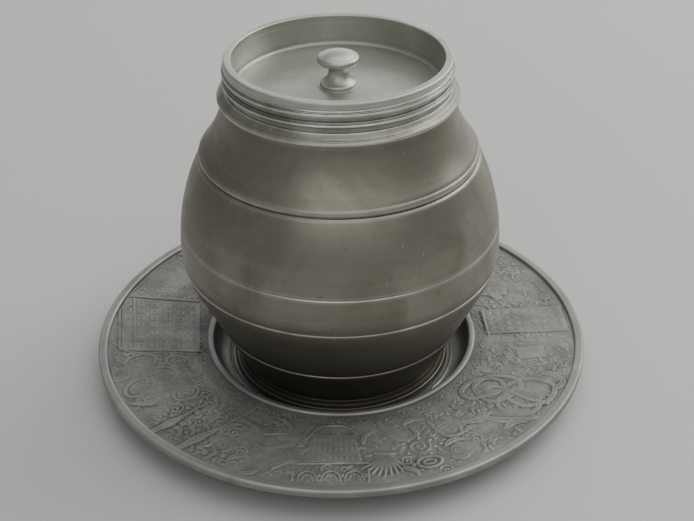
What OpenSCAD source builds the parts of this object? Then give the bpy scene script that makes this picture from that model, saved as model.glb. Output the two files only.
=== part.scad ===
// Pewter sugar bowl: a pot-bellied bowl with a recessed, knobbed lid, standing
// in the well of its underplate. +Z is up, the turning axis is Z and the
// underplate rests on Z = 0. All sizes are in millimetres.

/* [Underplate] */
// Diameter over the outer rim
plate_d = 200; // [165:1:260]
// Gap all round between the bowl's foot ring and the raised ring round the well
well_gap = 8.6; // [6:0.1:14]
// Depth of the well below the top of its ring
well_depth = 9.6; // [7:0.1:13]
// Thickness of the well floor
floor_t = 2.2; // [1.6:0.1:4]
// Thickness of the flange and of the well wall
plate_t = 1.8; // [1.2:0.1:2.6]
// Width of the raised ring round the well
ring_w = 2.8; // [2.2:0.1:4]
// Height of the raised ring above the flange
ring_h = 1.4; // [0.8:0.1:2]
// Width of the plain band between the ring and the relief
band_w = 4.9; // [3:0.1:8]
// Rise of the relief field from the band to the rim
flange_rise = 1.6; // [0:0.1:5]
// Width of the rolled outer rim
rim_w = 3.6; // [2.8:0.1:6]
// Height of the rim above the flange
rim_h = 1.3; // [0.8:0.1:2.5]

/* [Bowl] */
// Diameter at the belly
belly_d = 125.8; // [112:0.1:150]
// Height of the body from the foot ring to the shoulder seam
body_h = 89.4; // [74:0.1:112]
// Height of the belly above the foot ring
belly_at = 51.4; // [40:0.1:62]
// Radius of the curve that turns the belly into the cone below it
belly_round = 28; // [18:1:38]
// Diameter at the shoulder seam
shoulder_d = 107.3; // [98:0.1:111]
// Height of the concave shoulder
shoulder_h = 23.3; // [18:0.1:30]
// Thickness of the body metal
wall = 1.6; // [1.2:0.1:2.2]
// Diameter of the foot ring
foot_d = 88.8; // [76:0.1:107]
// Height of the foot ring
foot_h = 4.4; // [4:0.1:7]
// Radial width of the foot ring
foot_w = 6.4; // [5.4:0.1:8]
// Thickness of the base disc
base_t = 1.6; // [1.2:0.1:2]

/* [Neck] */
// Bore of the mouth
mouth_d = 81.4; // [66:0.1:92]
// Thickness of the neck tube
neck_wall = 1.2; // [1:0.1:1.8]
// Height of the neck tube
neck_h = 10.4; // [8:0.1:14]
// How far the rings and the neck bead stand out from the tube
bead_out = 1.1; // [0.6:0.1:1.8]
// Height of the bead on the neck
bead_h = 1.8; // [1.4:0.1:2.6]
// Height of the collar at the bottom of the neck
collar_h = 4.2; // [3:0.1:4.6]
// How far the collar stands out from the tube
collar_out = 3.3; // [2:0.1:4.5]
// Height of the mouth ring
mouth_ring_h = 2.1; // [1.8:0.1:4]

/* [Lid] */
// Gap all round between the lid pan and the bore of the mouth
lid_fit = 0.3; // [0.2:0.05:0.6]
// Depth of the recess in the lid
pan_depth = 12; // [8:0.1:15]
// Thickness of the pan wall
pan_wall = 1.2; // [0.8:0.1:1.6]
// Thickness of the pan floor
pan_floor_t = 1.4; // [1:0.1:2]
// How far the lid rim reaches over the mouth ring
rim_over = 1.5; // [1:0.1:2.1]
// Height of the lid rim
lid_rim_h = 2.9; // [1.8:0.1:3.6]

/* [Knob] */
// Diameter of the knob cap
cap_d = 15.6; // [12:0.1:20]
// Height of the knob above its washer
knob_h = 13.1; // [10:0.1:16]
// Diameter of the waist of the knob
waist_d = 7.2; // [6.6:0.1:9]
// Diameter of the skirt at the bottom of the knob
skirt_d = 13.7; // [11:0.1:18]
// Diameter of the stud that holds the knob
stud_d = 4; // [3:0.1:4.8]
// Thickness of the washer under the knob
washer_t = 0.3; // [0.2:0.1:0.8]
// Width of the nut across its flats
nut_af = 7; // [6:0.5:9]
// Height of the nut
nut_h = 2.6; // [2:0.1:3.4]

/* [Hidden] */
$fn = 96;

pewter = [0.56, 0.56, 0.54];
pewter_light = [0.68, 0.68, 0.67];
pewter_dark = [0.44, 0.44, 0.42];
steel = [0.62, 0.63, 0.65];

plate_r = plate_d / 2;
well_r = foot_d / 2 + well_gap;
ring_top = floor_t + well_depth;
band_z = ring_top - ring_h;
ring_r = well_r + ring_w;
band_r = ring_r + band_w;
rim_lap = rim_w * 0.45;
flange_r = plate_r - rim_w + rim_lap;
flange_z = band_z + flange_rise;
// The lip of the well covers all but this much of the seat that the flange gives it
lap_step = 0.6;
// Depth and radius of the hollow turned into the underside of the well
under_cut = 0.5;
under_r = well_r * 0.64;
// Flat part of the well floor, inside the curve of its wall
well_floor_r = well_r * 0.875;

foot_r = foot_d / 2;
foot_in_r = foot_r - foot_w;
body_z0 = floor_t + foot_h;
// How far the base disc sits below the top of the foot ring
base_in = 0.4;
base_z0 = body_z0 - base_t - base_in;
// The shell stands on the foot ring, inside the ledge that shows round it
ledge_w = 3.2;
join_r = foot_r - ledge_w;
belly_r = belly_d / 2;
belly_z = body_z0 + belly_at;
seam_z = body_z0 + body_h;
shoulder_r = shoulder_d / 2;
shoulder_top = seam_z + shoulder_h;
// Height of the seam between the two shells, just under the belly
split_share = 0.19;
split_z = belly_z - belly_round * split_share;
upper_round = (pow(belly_r - shoulder_r, 2) + pow(seam_z - belly_z, 2)) / (2 * (belly_r - shoulder_r));
// The cone below the belly is the line from the shell's foot that touches the belly curve
belly_centre = [belly_r - belly_round, belly_z];
foot_point = [join_r, body_z0] - belly_centre;
cone_angle = atan2(foot_point[1], foot_point[0]) + acos(belly_round / norm(foot_point));
// Depth and half width of the lines turned on the body, and where the other two lie
line_depth = 0.35;
line_w = 1;
upper_line_share = 0.262;
lower_line_share = 0.35;
upper_line_z = belly_z + (seam_z - belly_z) * upper_line_share;
lower_line_z = body_z0 + belly_at * lower_line_share;

mouth_r = mouth_d / 2;
neck_r = mouth_r + neck_wall;
ring_out_r = neck_r + bead_out;
neck_top = shoulder_top + neck_h;
mouth_top = neck_top + mouth_ring_h;
// Plain strip of the tube between the bead and the mouth ring
bead_drop = 2.2;
bead_z = neck_top - bead_h / 2 - bead_drop;
// The shoulder reaches this far past the neck tube, under the collar
shoulder_over = 1.1;
shoulder_neck_r = neck_r + shoulder_over;

pan_r = mouth_r - lid_fit;
pan_in_r = pan_r - pan_wall;
lid_r = mouth_r + rim_over;
lid_top = mouth_top + lid_rim_h;
pan_floor_z = lid_top - pan_depth;
// Radius of the corner at the pan's floor, and width of the edge that leads the pan in
pan_round = 1.6;
pan_lead = 0.9;

cap_r = cap_d / 2;
waist_r = waist_d / 2;
skirt_r = skirt_d / 2;
// How far the washer shows round the skirt
washer_over = 0.7;
washer_r = skirt_r + washer_over;
knob_z = pan_floor_z + washer_t;
// Depth of the stud's hole in the knob, and the gaps round and beyond the stud
stud_in = knob_h * 0.4;
stud_fit = 0.1;
stud_r = stud_d / 2;
stud_hole_r = stud_r + stud_fit;
// The stud reaches through the nut and a little past it
stud_past = 0.8;
stud_under = nut_h + stud_past;
// Cuts run past the metal by this much
past = 1;

// Radius of the body at height z, for the surface that lies w inside the outer one
function cone_r(z, w) =
    belly_centre[0] + (belly_round - w - (z - belly_z) * sin(cone_angle)) / cos(cone_angle);
function below_r(z, w) = z < belly_z + (belly_round - w) * sin(cone_angle)
    ? cone_r(z, w)
    : belly_centre[0] + sqrt(pow(belly_round - w, 2) - pow(z - belly_z, 2));
function above_r(z, w) =
    belly_r - upper_round + sqrt(pow(upper_round - w, 2) - pow(z - belly_z, 2));
function body_r(z, w = 0) = z < belly_z ? below_r(z, w) : above_r(z, w);

// Value that lies the share t of the way from a to b
function between(a, b, t) = a + (b - a) * t;

// Point of a curve with three controls
function bend(a, b, c, t) = (1 - t) * (1 - t) * a + 2 * t * (1 - t) * b + t * t * c;
function bend_points(a, b, c, n) = [for (i = [0 : n]) bend(a, b, c, i / n)];
// Points along a round edge, from angle a to angle b
function arc_points(centre, r, a, b, n = 6) =
    [for (i = [0 : n]) centre + r * [cos(a + (b - a) * i / n), sin(a + (b - a) * i / n)]];

module turned(points) {
    rotate_extrude() polygon(points);
}

// Part of the body between two heights, as a wall of even thickness
shell_steps = 20;
module shell_wall(z0, z1, steps) {
    polygon(concat(
        [for (i = [0 : steps]) let (z = z0 + (z1 - z0) * i / steps) [body_r(z), z]],
        [for (i = [steps : -1 : 0]) let (z = z0 + (z1 - z0) * i / steps) [body_r(z, wall), z]]
    ));
}

// A line incised round the body, as seen in section
module body_line(z) {
    translate([body_r(z), z])
        polygon([[-line_depth, 0], [line_depth, -line_w], [line_depth, line_w]]);
}

module plate_flange() {
    color(pewter)
        turned([
            [well_r + lap_step, band_z - plate_t],
            [band_r, band_z - plate_t],
            [flange_r, flange_z - plate_t],
            [flange_r, flange_z],
            [band_r, band_z],
            [well_r + lap_step, band_z]
        ]);
}

module plate_rim() {
    rim_in = plate_r - rim_w;
    top_z = flange_z + rim_h;
    // The rim's underside follows the slope of the flange under it
    lap_z = flange_z - flange_rise * rim_lap / (flange_r - band_r);
    round_r = rim_h * 0.6;
    color(pewter_light)
        turned(concat(
            [[flange_r, flange_z - plate_t]],
            arc_points([plate_r - round_r, flange_z - plate_t + round_r], round_r, -90, 0, 4),
            arc_points([plate_r - round_r, top_z - round_r], round_r, 0, 90, 5),
            arc_points([rim_in + round_r, top_z - round_r], round_r, 90, 180, 5),
            [[rim_in, lap_z], [flange_r, flange_z]]
        ));
}

module plate_well() {
    top_round = ring_w * 0.36;
    corner = [well_r - 0.8, floor_t];
    color(pewter)
        turned(concat(
            [[0, under_cut], [under_r, under_cut], [under_r, 0]],
            bend_points([well_floor_r - 1, 0], corner + [lap_step + 0.4, -0.6],
                        [well_r + lap_step, band_z - plate_t], 10),
            [[well_r + lap_step, band_z], [ring_r, band_z]],
            arc_points([ring_r - top_round, ring_top - top_round], top_round, 0, 90, 5),
            arc_points([well_r + top_round, ring_top - top_round], top_round, 90, 180, 5),
            bend_points([well_r - 0.2, ring_top - ring_h * 1.2], corner, [well_floor_r, floor_t], 12),
            [[0, floor_t]]
        ));
}

module foot_ring() {
    lip_z = floor_t + foot_h * 0.5;
    color(pewter_dark)
        turned(concat(
            [[foot_in_r, floor_t], [foot_r - 0.3, floor_t], [foot_r, floor_t + 0.4]],
            arc_points([foot_r - 1, lip_z - 0.4], 0.6, 0, 90, 5),
            bend_points([foot_r - 2.3, lip_z], [join_r, lip_z], [join_r, body_z0], 6),
            [[foot_in_r, body_z0]]
        ));
}

module base_disc() {
    color(pewter_dark)
        translate([0, 0, base_z0]) cylinder(r = foot_in_r, h = base_t);
}

module lower_shell() {
    color(pewter_dark)
        rotate_extrude() difference() {
            shell_wall(body_z0, split_z, shell_steps);
            body_line(lower_line_z);
            // Half of the line that hides the seam between the shells
            body_line(split_z);
        }
}

module upper_shell() {
    color(pewter_dark)
        rotate_extrude() difference() {
            shell_wall(split_z, seam_z, shell_steps);
            body_line(split_z);
            body_line(upper_line_z);
            // Turned edge under the shoulder seam
            translate([shoulder_r, seam_z])
                polygon([[-0.5, 0.1], [0.1, -0.5], [1, -0.5], [1, 0.1]]);
        }
}

// Outer line of the shoulder, from its bottom edge to the neck, moved in by w
shoulder_steps = 12;
function shoulder_points(w) = bend_points(
    [shoulder_r - 1.5 - w, seam_z + 3.9],
    [between(shoulder_r, shoulder_neck_r, 0.74) - w, seam_z + shoulder_h * 0.5],
    [shoulder_neck_r - w, shoulder_top], shoulder_steps);

module shoulder() {
    // Radius of the round edge at the foot of the shoulder
    nose = 1.8;
    color(pewter_dark)
        turned(concat(
            [[shoulder_r - nose * 0.5, seam_z]],
            arc_points([shoulder_r - nose - 0.2, seam_z + nose * 0.86], nose, -55, 60, 9),
            shoulder_points(0),
            [for (i = [shoulder_steps : -1 : 0]) shoulder_points(wall)[i]],
            [[shoulder_r - wall - 1.4, seam_z]]
        ));
}

// Ring whose top slopes outwards to a round edge, with fine grooves turned on the slope
module sloped_ring(in_r, top_r, out_r, low_z, high_z, edge, grooves) {
    edge_z = low_z + edge;
    groove_r = 0.13;
    difference() {
        polygon(concat(
            [[in_r, low_z]],
            arc_points([out_r - edge, edge_z], edge, -90, 45, 7),
            [[top_r, high_z], [in_r, high_z]]
        ));
        for (t = grooves)
            translate([between(out_r - edge * 0.3, top_r, t), between(edge_z + edge * 0.7, high_z, t)])
                circle(r = groove_r, $fn = 16);
    }
}

module neck_collar() {
    edge = 0.8;
    // The lip is a straight band under the hollow slope
    lip_h = 1.7;
    groove_r = 0.14;
    out_r = neck_r + collar_out;
    top_r = neck_r + 0.4;
    slope = [[out_r - 0.5, shoulder_top + lip_h],
             [between(top_r, out_r, 0.34), shoulder_top + lip_h + (collar_h - lip_h) * 0.3],
             [top_r, shoulder_top + collar_h]];
    color(pewter_dark)
        rotate_extrude() difference() {
            polygon(concat(
                [[neck_r, shoulder_top]],
                arc_points([out_r - edge, shoulder_top + edge], edge, -90, 40, 7),
                bend_points(slope[0], slope[1], slope[2], 8),
                [[neck_r, shoulder_top + collar_h]]
            ));
            // Two fine grooves turned at the foot of the slope
            for (t = [0.06, 0.26])
                translate(bend(slope[0], slope[1], slope[2], t)) circle(r = groove_r, $fn = 16);
        }
}

module neck() {
    bead_edge = 0.5;
    color(pewter_dark)
        rotate_extrude() {
            translate([mouth_r, shoulder_top]) square([neck_wall, neck_h]);
            sloped_ring(neck_r - 0.2, neck_r + 0.2, ring_out_r, bead_z - bead_h / 2, bead_z + bead_h / 2,
                bead_edge, [0.3, 0.62]);
        }
}

module mouth_ring() {
    ring_edge = 0.5;
    color(pewter)
        rotate_extrude()
            sloped_ring(mouth_r, lid_r - 0.2, ring_out_r, neck_top, mouth_top, ring_edge, [0.25, 0.55]);
}

module lid_pan() {
    color(pewter_light)
        rotate_extrude() difference() {
            translate([0, pan_floor_z - pan_floor_t])
                square([pan_r, mouth_top - pan_floor_z + pan_floor_t]);
            // The recess, with a round corner at its floor
            polygon(concat(
                [[0, pan_floor_z]],
                arc_points([pan_in_r - pan_round, pan_floor_z + pan_round], pan_round, -90, 0, 6),
                [[pan_in_r, mouth_top + past], [0, mouth_top + past]]
            ));
            // Hole for the stud
            translate([0, pan_floor_z - pan_floor_t - past])
                square([stud_hole_r, pan_floor_t + 2 * past]);
            // Round edge under the pan, which leads it into the mouth
            translate([pan_r, pan_floor_z - pan_floor_t])
                rotate(45) square(pan_lead, center = true);
        }
}

module lid_rim() {
    edge = lid_rim_h * 0.3;
    inner_edge = 0.5;
    groove_r = 0.12;
    color(pewter_light)
        rotate_extrude() difference() {
            polygon(concat(
                [[pan_in_r, mouth_top], [lid_r - 0.3, mouth_top], [lid_r, mouth_top + 0.3]],
                arc_points([lid_r - edge, lid_top - edge], edge, 0, 90, 8),
                arc_points([pan_in_r + inner_edge, lid_top - inner_edge], inner_edge, 90, 180, 4)
            ));
            // Two fine lines turned on the side
            for (t = [0.3, 0.56])
                translate([lid_r, between(mouth_top, lid_top, t)]) circle(r = groove_r, $fn = 16);
        }
}

module knob() {
    // Radius of the cap's round edge, which lies this far below the top
    cap_edge = 1.5;
    cap_h = 3.1;
    cap_z = knob_z + knob_h - cap_h;
    waist_z = knob_z + knob_h * 0.42;
    skirt_edge = 0.9;
    color(pewter_light)
        rotate_extrude() difference() {
            polygon(concat(
                [[0, knob_z], [skirt_r, knob_z], [skirt_r, knob_z + skirt_edge]],
                bend_points([skirt_r - 0.3, knob_z + skirt_edge + 0.4],
                            [waist_r + 0.4, knob_z + skirt_edge + 1.4],
                            [waist_r, waist_z], 8),
                bend_points([waist_r, waist_z], [waist_r, cap_z - cap_edge * 1.2],
                            [cap_r - cap_edge * 1.2, cap_z - cap_edge * 1.02], 8),
                arc_points([cap_r - cap_edge, cap_z], cap_edge, -70, 66, 9),
                bend_points([cap_r - cap_edge, cap_z + cap_edge * 1.05],
                            [cap_r * 0.45, knob_z + knob_h], [0, knob_z + knob_h], 8)
            ));
            translate([0, knob_z - past])
                square([stud_hole_r, stud_in + stud_fit + past]);
        }
}

module knob_washer() {
    color(pewter)
        translate([0, 0, pan_floor_z]) difference() {
            cylinder(r = washer_r, h = washer_t);
            translate([0, 0, -past]) cylinder(r = stud_hole_r, h = washer_t + 2 * past);
        }
}

module knob_stud() {
    bottom_z = pan_floor_z - pan_floor_t - stud_under;
    color(steel)
        translate([0, 0, bottom_z]) cylinder(r = stud_r, h = knob_z + stud_in + stud_fit - bottom_z);
}

module knob_nut() {
    color(steel)
        translate([0, 0, pan_floor_z - pan_floor_t - nut_h]) difference() {
            cylinder(d = nut_af / cos(30), h = nut_h, $fn = 6);
            translate([0, 0, -past]) cylinder(r = stud_r, h = nut_h + 2 * past);
        }
}

plate_flange();
plate_rim();
plate_well();
foot_ring();
base_disc();
lower_shell();
upper_shell();
shoulder();
neck_collar();
neck();
mouth_ring();
lid_pan();
lid_rim();
knob();
knob_washer();
knob_stud();
knob_nut();
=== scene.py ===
import math

import bmesh
import bpy
import numpy as np
from mathutils import Matrix, Vector


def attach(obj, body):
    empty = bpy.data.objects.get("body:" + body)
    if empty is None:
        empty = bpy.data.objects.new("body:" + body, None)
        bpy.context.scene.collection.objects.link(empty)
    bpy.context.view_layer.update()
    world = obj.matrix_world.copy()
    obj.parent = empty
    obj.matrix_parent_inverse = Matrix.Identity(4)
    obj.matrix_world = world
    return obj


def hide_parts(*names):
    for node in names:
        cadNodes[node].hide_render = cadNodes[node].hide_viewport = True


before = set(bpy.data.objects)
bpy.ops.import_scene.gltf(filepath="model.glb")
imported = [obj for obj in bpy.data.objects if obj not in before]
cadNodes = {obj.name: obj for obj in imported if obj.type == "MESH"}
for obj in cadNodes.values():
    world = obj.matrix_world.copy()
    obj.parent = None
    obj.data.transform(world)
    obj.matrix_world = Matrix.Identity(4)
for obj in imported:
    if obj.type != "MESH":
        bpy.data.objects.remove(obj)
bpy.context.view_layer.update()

mm = 0.001
print("frame loaded:", len(cadNodes), "nodes")


# small helpers for node trees
def plug(tree, target, source):
    # a socket is linked, anything else is set as the value
    if isinstance(source, bpy.types.NodeSocket):
        tree.links.new(source, target)
    else:
        target.default_value = source


def addNode(tree, kind, inputs=(), **settings):
    # inputs are held by name or number
    node = tree.nodes.new(kind)
    for name, value in settings.items():
        setattr(node, name, value)
    for name, source in dict(inputs).items():
        plug(tree, node.inputs[name], source)
    return node


def doMath(tree, operation, first, second=None, clamp=False):
    inputs = {0: first} if second is None else {0: first, 1: second}
    return addNode(tree, "ShaderNodeMath", inputs, operation=operation, use_clamp=clamp).outputs[0]


def plus(tree, first, second):
    return doMath(tree, "ADD", first, second)


def minus(tree, first, second):
    return doMath(tree, "SUBTRACT", first, second)


def times(tree, first, second):
    return doMath(tree, "MULTIPLY", first, second)


def doVector(tree, operation, first, second=None, scale=None):
    inputs = {0: first}
    if second is not None:
        inputs[1] = second
    if scale is not None:
        inputs["Scale"] = scale
    node = addNode(tree, "ShaderNodeVectorMath", inputs, operation=operation)
    return node.outputs["Value" if operation == "LENGTH" else "Vector"]


def splitVector(tree, vector):
    return addNode(tree, "ShaderNodeSeparateXYZ", {0: vector}).outputs


def joinVector(tree, x=0.0, y=0.0, z=0.0):
    return addNode(tree, "ShaderNodeCombineXYZ", {0: x, 1: y, 2: z}).outputs[0]


def doRange(tree, value, low, high, newLow=0.0, newHigh=1.0, smooth=False):
    inputs = {"Value": value, "From Min": low, "From Max": high, "To Min": newLow, "To Max": newHigh}
    curve = "SMOOTHSTEP" if smooth else "LINEAR"
    return addNode(tree, "ShaderNodeMapRange", inputs, interpolation_type=curve).outputs["Result"]


def doNoise(tree, vector, scale, detail=2.0, roughness=0.5, distortion=0.0):
    inputs = {
        "Vector": vector, "Scale": scale, "Detail": detail, "Roughness": roughness,
        "Distortion": distortion
    }
    return addNode(tree, "ShaderNodeTexNoise", inputs).outputs[0]


def doMix(tree, factor, first, second):
    return addNode(tree, "ShaderNodeMix", {0: factor, 6: first, 7: second}, data_type="RGBA").outputs[2]


def newTree(name, kind, inputs, outputs):
    # inputs give name, kind of socket and first value, outputs give name and kind
    tree = bpy.data.node_groups.new(name, kind)
    for socketName, socketKind, value in inputs:
        socket = tree.interface.new_socket(
            socketName, in_out="INPUT", socket_type="NodeSocket" + socketKind
        )
        if value is not None:
            socket.default_value = value
    for socketName, socketKind in outputs:
        tree.interface.new_socket(socketName, in_out="OUTPUT", socket_type="NodeSocket" + socketKind)
    return tree, tree.nodes.new("NodeGroupInput").outputs, tree.nodes.new("NodeGroupOutput").inputs


def useGroup(tree, group, inputs):
    return addNode(tree, "ShaderNodeGroup", inputs, node_tree=group).outputs


# shader effects shared by the metals
def makeLatheMarks():
    # fine lines left by the turning tool: they run round the axis on walls and on flat floors alike
    group, given, result = newTree(
        "latheMarks",
        "ShaderNodeTree",
        [("Position", "Vector", None), ("Lines per mm", "Float", 2.0), ("Wander", "Float", 0.4)],
        [("Lines", "Float"), ("Bands", "Float")],
    )
    x, y, z = splitVector(group, doVector(group, "SCALE", given["Position"], scale=1000.0))
    flat = joinVector(group, x, y)
    reach = times(group, doVector(group, "LENGTH", flat), given["Lines per mm"])
    level = times(group, z, given["Lines per mm"])
    wander = doVector(group, "SCALE", doVector(group, "NORMALIZE", flat), scale=given["Wander"])
    lines = joinVector(group, reach, level, splitVector(group, wander)[0])
    shifted = doVector(group, "ADD", lines, wander)
    plug(group, result["Lines"], doNoise(group, shifted, 1.0, 3.0, 0.65))
    plug(group, result["Bands"], doNoise(group, shifted, 0.16, 2.0, 0.5))
    return group


def makePatina():
    # blotches of tarnish: broad clouds broken up by smaller spots
    group, given, result = newTree(
        "patina",
        "ShaderNodeTree",
        [("Position", "Vector", None), ("Size mm", "Float", 20.0), ("Spots", "Float", 0.5)],
        [("Clouds", "Float"), ("Specks", "Float")],
    )
    scale = doMath(group, "DIVIDE", 1000.0, given["Size mm"])
    clouds = doNoise(group, given["Position"], scale, 5.0, 0.6, 0.6)
    spots = doNoise(group, given["Position"], times(group, scale, 9.0), 4.0, 0.7)
    plug(group, result["Clouds"], doRange(group, clouds, 0.36, 0.64))
    plug(group, result["Specks"], doRange(group, spots, 0.60, 0.74, 0.0, given["Spots"], smooth=True))
    return group


def makeScratches():
    # short handling scratches: long thin cells, each showing only its core
    group, given, result = newTree(
        "scratches",
        "ShaderNodeTree",
        [("Position", "Vector", None), ("Amount", "Float", 0.5)],
        [("Scratches", "Float")],
    )
    cellsPerMetre = 260.0
    total = None
    for turn, stretch, shift in ((0.5, 26.0, 0.0), (-0.9, 18.0, 3.7), (1.35, 30.0, 8.1)):
        stretched = {
            "Vector": given["Position"],
            "Location": (shift, shift, 0),
            "Rotation": (turn * 0.4, turn, turn * 1.7),
            "Scale": (cellsPerMetre, cellsPerMetre, cellsPerMetre / stretch),
        }
        turned = addNode(group, "ShaderNodeMapping", stretched).outputs[0]
        cells = addNode(group, "ShaderNodeTexVoronoi", {"Vector": turned, "Scale": 1.0}, feature="F1")
        core = doRange(group, cells.outputs["Distance"], 0.02, 0.09, 1.0, 0.0)
        few = doRange(group, doNoise(group, turned, 0.35, 1.0), 0.52, 0.62)
        mark = times(group, core, few)
        total = mark if total is None else doMath(group, "MAXIMUM", total, mark)
    plug(group, result["Scratches"], times(group, total, given["Amount"]))
    return group


def makeGrain():
    # the fine tooth of cast and rubbed metal
    group, given, result = newTree(
        "castGrain",
        "ShaderNodeTree",
        [("Position", "Vector", None), ("Grains per mm", "Float", 3.0)],
        [("Grain", "Float")],
    )
    scale = times(group, given["Grains per mm"], 1000.0)
    fine = doNoise(group, given["Position"], scale, 2.0, 0.6)
    coarse = doNoise(group, given["Position"], times(group, scale, 0.25), 2.0, 0.5)
    plug(group, result["Grain"], plus(group, times(group, fine, 0.6), times(group, coarse, 0.4)))
    return group


latheMarks = makeLatheMarks()
patina = makePatina()
scratches = makeScratches()
castGrain = makeGrain()

# colours, wear and painted shade of each finish
lidFinish = {
    "clean": (0.50, 0.505, 0.455), "tarnish": (0.39, 0.395, 0.35), "edge": (0.58, 0.58, 0.54),
    "darkTone": (0.10, 0.095, 0.08),
    "paintedLowShade": 0.0, "metal": 0.92, "rough": 0.43, "roughSpread": 0.10, "patinaMm": 26.0, "spots": 0.35,
    "linesPerMm": 2.6, "lineHeight": 0.006,
    "scratches": 0.55, "grainHeight": 0.004,
}
# the body finish also carries painted shade, darkening it towards the foot
bodyFinish = {
    "clean": (0.252, 0.240, 0.198), "tarnish": (0.182, 0.171, 0.136), "edge": (0.60, 0.57, 0.50),
    "darkTone": (0.035, 0.03, 0.025),
    "paintedLowShade": 0.42, "metal": 0.92, "rough": 0.41, "roughSpread": 0.14, "patinaMm": 34.0, "spots": 0.5,
    "linesPerMm": 1.8, "lineHeight": 0.004,
    "scratches": 0.8, "grainHeight": 0.005,
}
neckFinish = {
    "clean": (0.32, 0.32, 0.28), "tarnish": (0.205, 0.205, 0.172), "edge": (0.74, 0.73, 0.68),
    "darkTone": (0.03, 0.027, 0.022),
    "paintedLowShade": 0.0, "metal": 0.92, "rough": 0.38, "roughSpread": 0.16, "patinaMm": 18.0, "spots": 0.6,
    "linesPerMm": 2.6, "lineHeight": 0.009,
    "scratches": 0.9, "grainHeight": 0.008,
}
plateFinish = {
    "clean": (0.27, 0.273, 0.25), "tarnish": (0.20, 0.203, 0.185), "edge": (0.44, 0.445, 0.415),
    "darkTone": (0.05, 0.05, 0.043),
    "paintedLowShade": 0.0, "metal": 0.8, "rough": 0.48, "roughSpread": 0.14, "patinaMm": 30.0, "spots": 0.5,
    "linesPerMm": 2.2, "lineHeight": 0.004,
    "scratches": 0.5, "grainHeight": 0.022,
}
reliefFinish = {
    "clean": (0.240, 0.245, 0.222), "tarnish": (0.155, 0.159, 0.144), "edge": (0.34, 0.348, 0.32),
    "darkTone": (0.037, 0.037, 0.032),
    "paintedLowShade": 0.0, "metal": 0.42, "rough": 0.55, "roughSpread": 0.10, "patinaMm": 15.0, "spots": 0.5,
    "linesPerMm": 1.6, "lineHeight": 0.001,
    "scratches": 0.25, "grainHeight": 0.012,
}


def newMaterial(name):
    material = bpy.data.materials.new(name)
    material.use_nodes = True
    return material, material.node_tree, material.node_tree.nodes["Principled BSDF"]


def addBump(tree, shader, height, distance):
    bump = addNode(tree, "ShaderNodeBump", {"Strength": 1.0, "Distance": distance, "Height": height})
    plug(tree, shader.inputs["Normal"], bump.outputs["Normal"])


def readFac(tree, name):
    return addNode(tree, "ShaderNodeAttribute", attribute_name=name).outputs["Fac"]


def makePewter(name, finish):
    material, tree, shader = newMaterial(name)
    place = addNode(tree, "ShaderNodeTexCoord").outputs["Object"]
    marks = useGroup(tree, latheMarks, {"Position": place, "Lines per mm": finish["linesPerMm"]})
    size = {"Position": place, "Spots": finish["spots"], "Size mm": finish["patinaMm"]}
    clouds, specks = useGroup(tree, patina, size)
    hairs = useGroup(tree, scratches, {"Position": place, "Amount": finish["scratches"]})[0]
    grain = useGroup(tree, castGrain, {"Position": place})[0]
    edge, hollow = (readFac(tree, name) for name in ("edge", "hollow"))
    # the edge colour is laid on rubbed edges and on the painted highlight lines cut round the bowl
    wearAndGlint = doMath(tree, "MULTIPLY", edge, doRange(tree, clouds, 0.0, 1.0, 1.0, 0.45), clamp=True)
    layers = [
        (times(tree, specks, 0.5), "darkTone"),
        (times(tree, hollow, doRange(tree, grain, 0.3, 0.6, 0.55, 1.0)), "darkTone"),
        (wearAndGlint, "edge"),
        (times(tree, hairs, 0.55), "edge"),
    ]
    if finish["paintedLowShade"]:
        # painted shade: the colour is darkened towards the foot, below 70 mm, standing in for the shade
        # and dark reflections low on the bowl
        height = plus(tree, splitVector(tree, place)[2], times(tree, clouds, 0.01))
        low = doRange(tree, height, 0.07, 0.012, 0.0, finish["paintedLowShade"], smooth=True)
        layers.insert(0, (low, "darkTone"))
    banded = plus(tree, times(tree, clouds, 0.7), times(tree, marks["Bands"], 0.5))
    colour = doMix(
        tree, doRange(tree, banded, 0.25, 0.95), (*finish["clean"], 1), (*finish["tarnish"], 1)
    )
    for share, paint in layers:
        colour = doMix(tree, share, colour, (*finish[paint], 1))
    plug(tree, shader.inputs["Base Color"], colour)
    plug(tree, shader.inputs["Metallic"], finish["metal"])
    leastRough = finish["rough"] - finish["roughSpread"] / 2
    streaks = plus(tree, times(tree, clouds, 0.6), times(tree, marks["Lines"], 0.5))
    rough = doRange(tree, streaks, 0.2, 0.9, leastRough, leastRough + finish["roughSpread"])
    rough = plus(tree, rough, times(tree, hollow, 0.25))
    plug(tree, shader.inputs["Roughness"], minus(tree, rough, times(tree, wearAndGlint, 0.06)))
    height = times(tree, marks["Lines"], finish["lineHeight"])
    height = plus(tree, height, times(tree, grain, finish["grainHeight"]))
    addBump(tree, shader, minus(tree, height, times(tree, hairs, 0.006)), mm)
    return material


def makeSteel():
    steelColours = {
        "bright": (0.55, 0.55, 0.56, 1), "dull": (0.38, 0.37, 0.36, 1), "spots": (0.14, 0.09, 0.06, 1)
    }
    material, tree, shader = newMaterial("turnedSteel")
    place = addNode(tree, "ShaderNodeTexCoord").outputs["Object"]
    lines = useGroup(tree, latheMarks, {"Position": place, "Lines per mm": 3.0})["Lines"]
    clouds, specks = useGroup(tree, patina, {"Position": place, "Spots": 0.6, "Size mm": 4.0})
    colour = doMix(tree, clouds, steelColours["bright"], steelColours["dull"])
    plug(tree, shader.inputs["Base Color"], doMix(tree, specks, colour, steelColours["spots"]))
    plug(tree, shader.inputs["Metallic"], 1.0)
    plug(tree, shader.inputs["Roughness"], doRange(tree, lines, 0.2, 0.8, 0.25, 0.42))
    addBump(tree, shader, lines, mm * 0.01)
    return material


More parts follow.
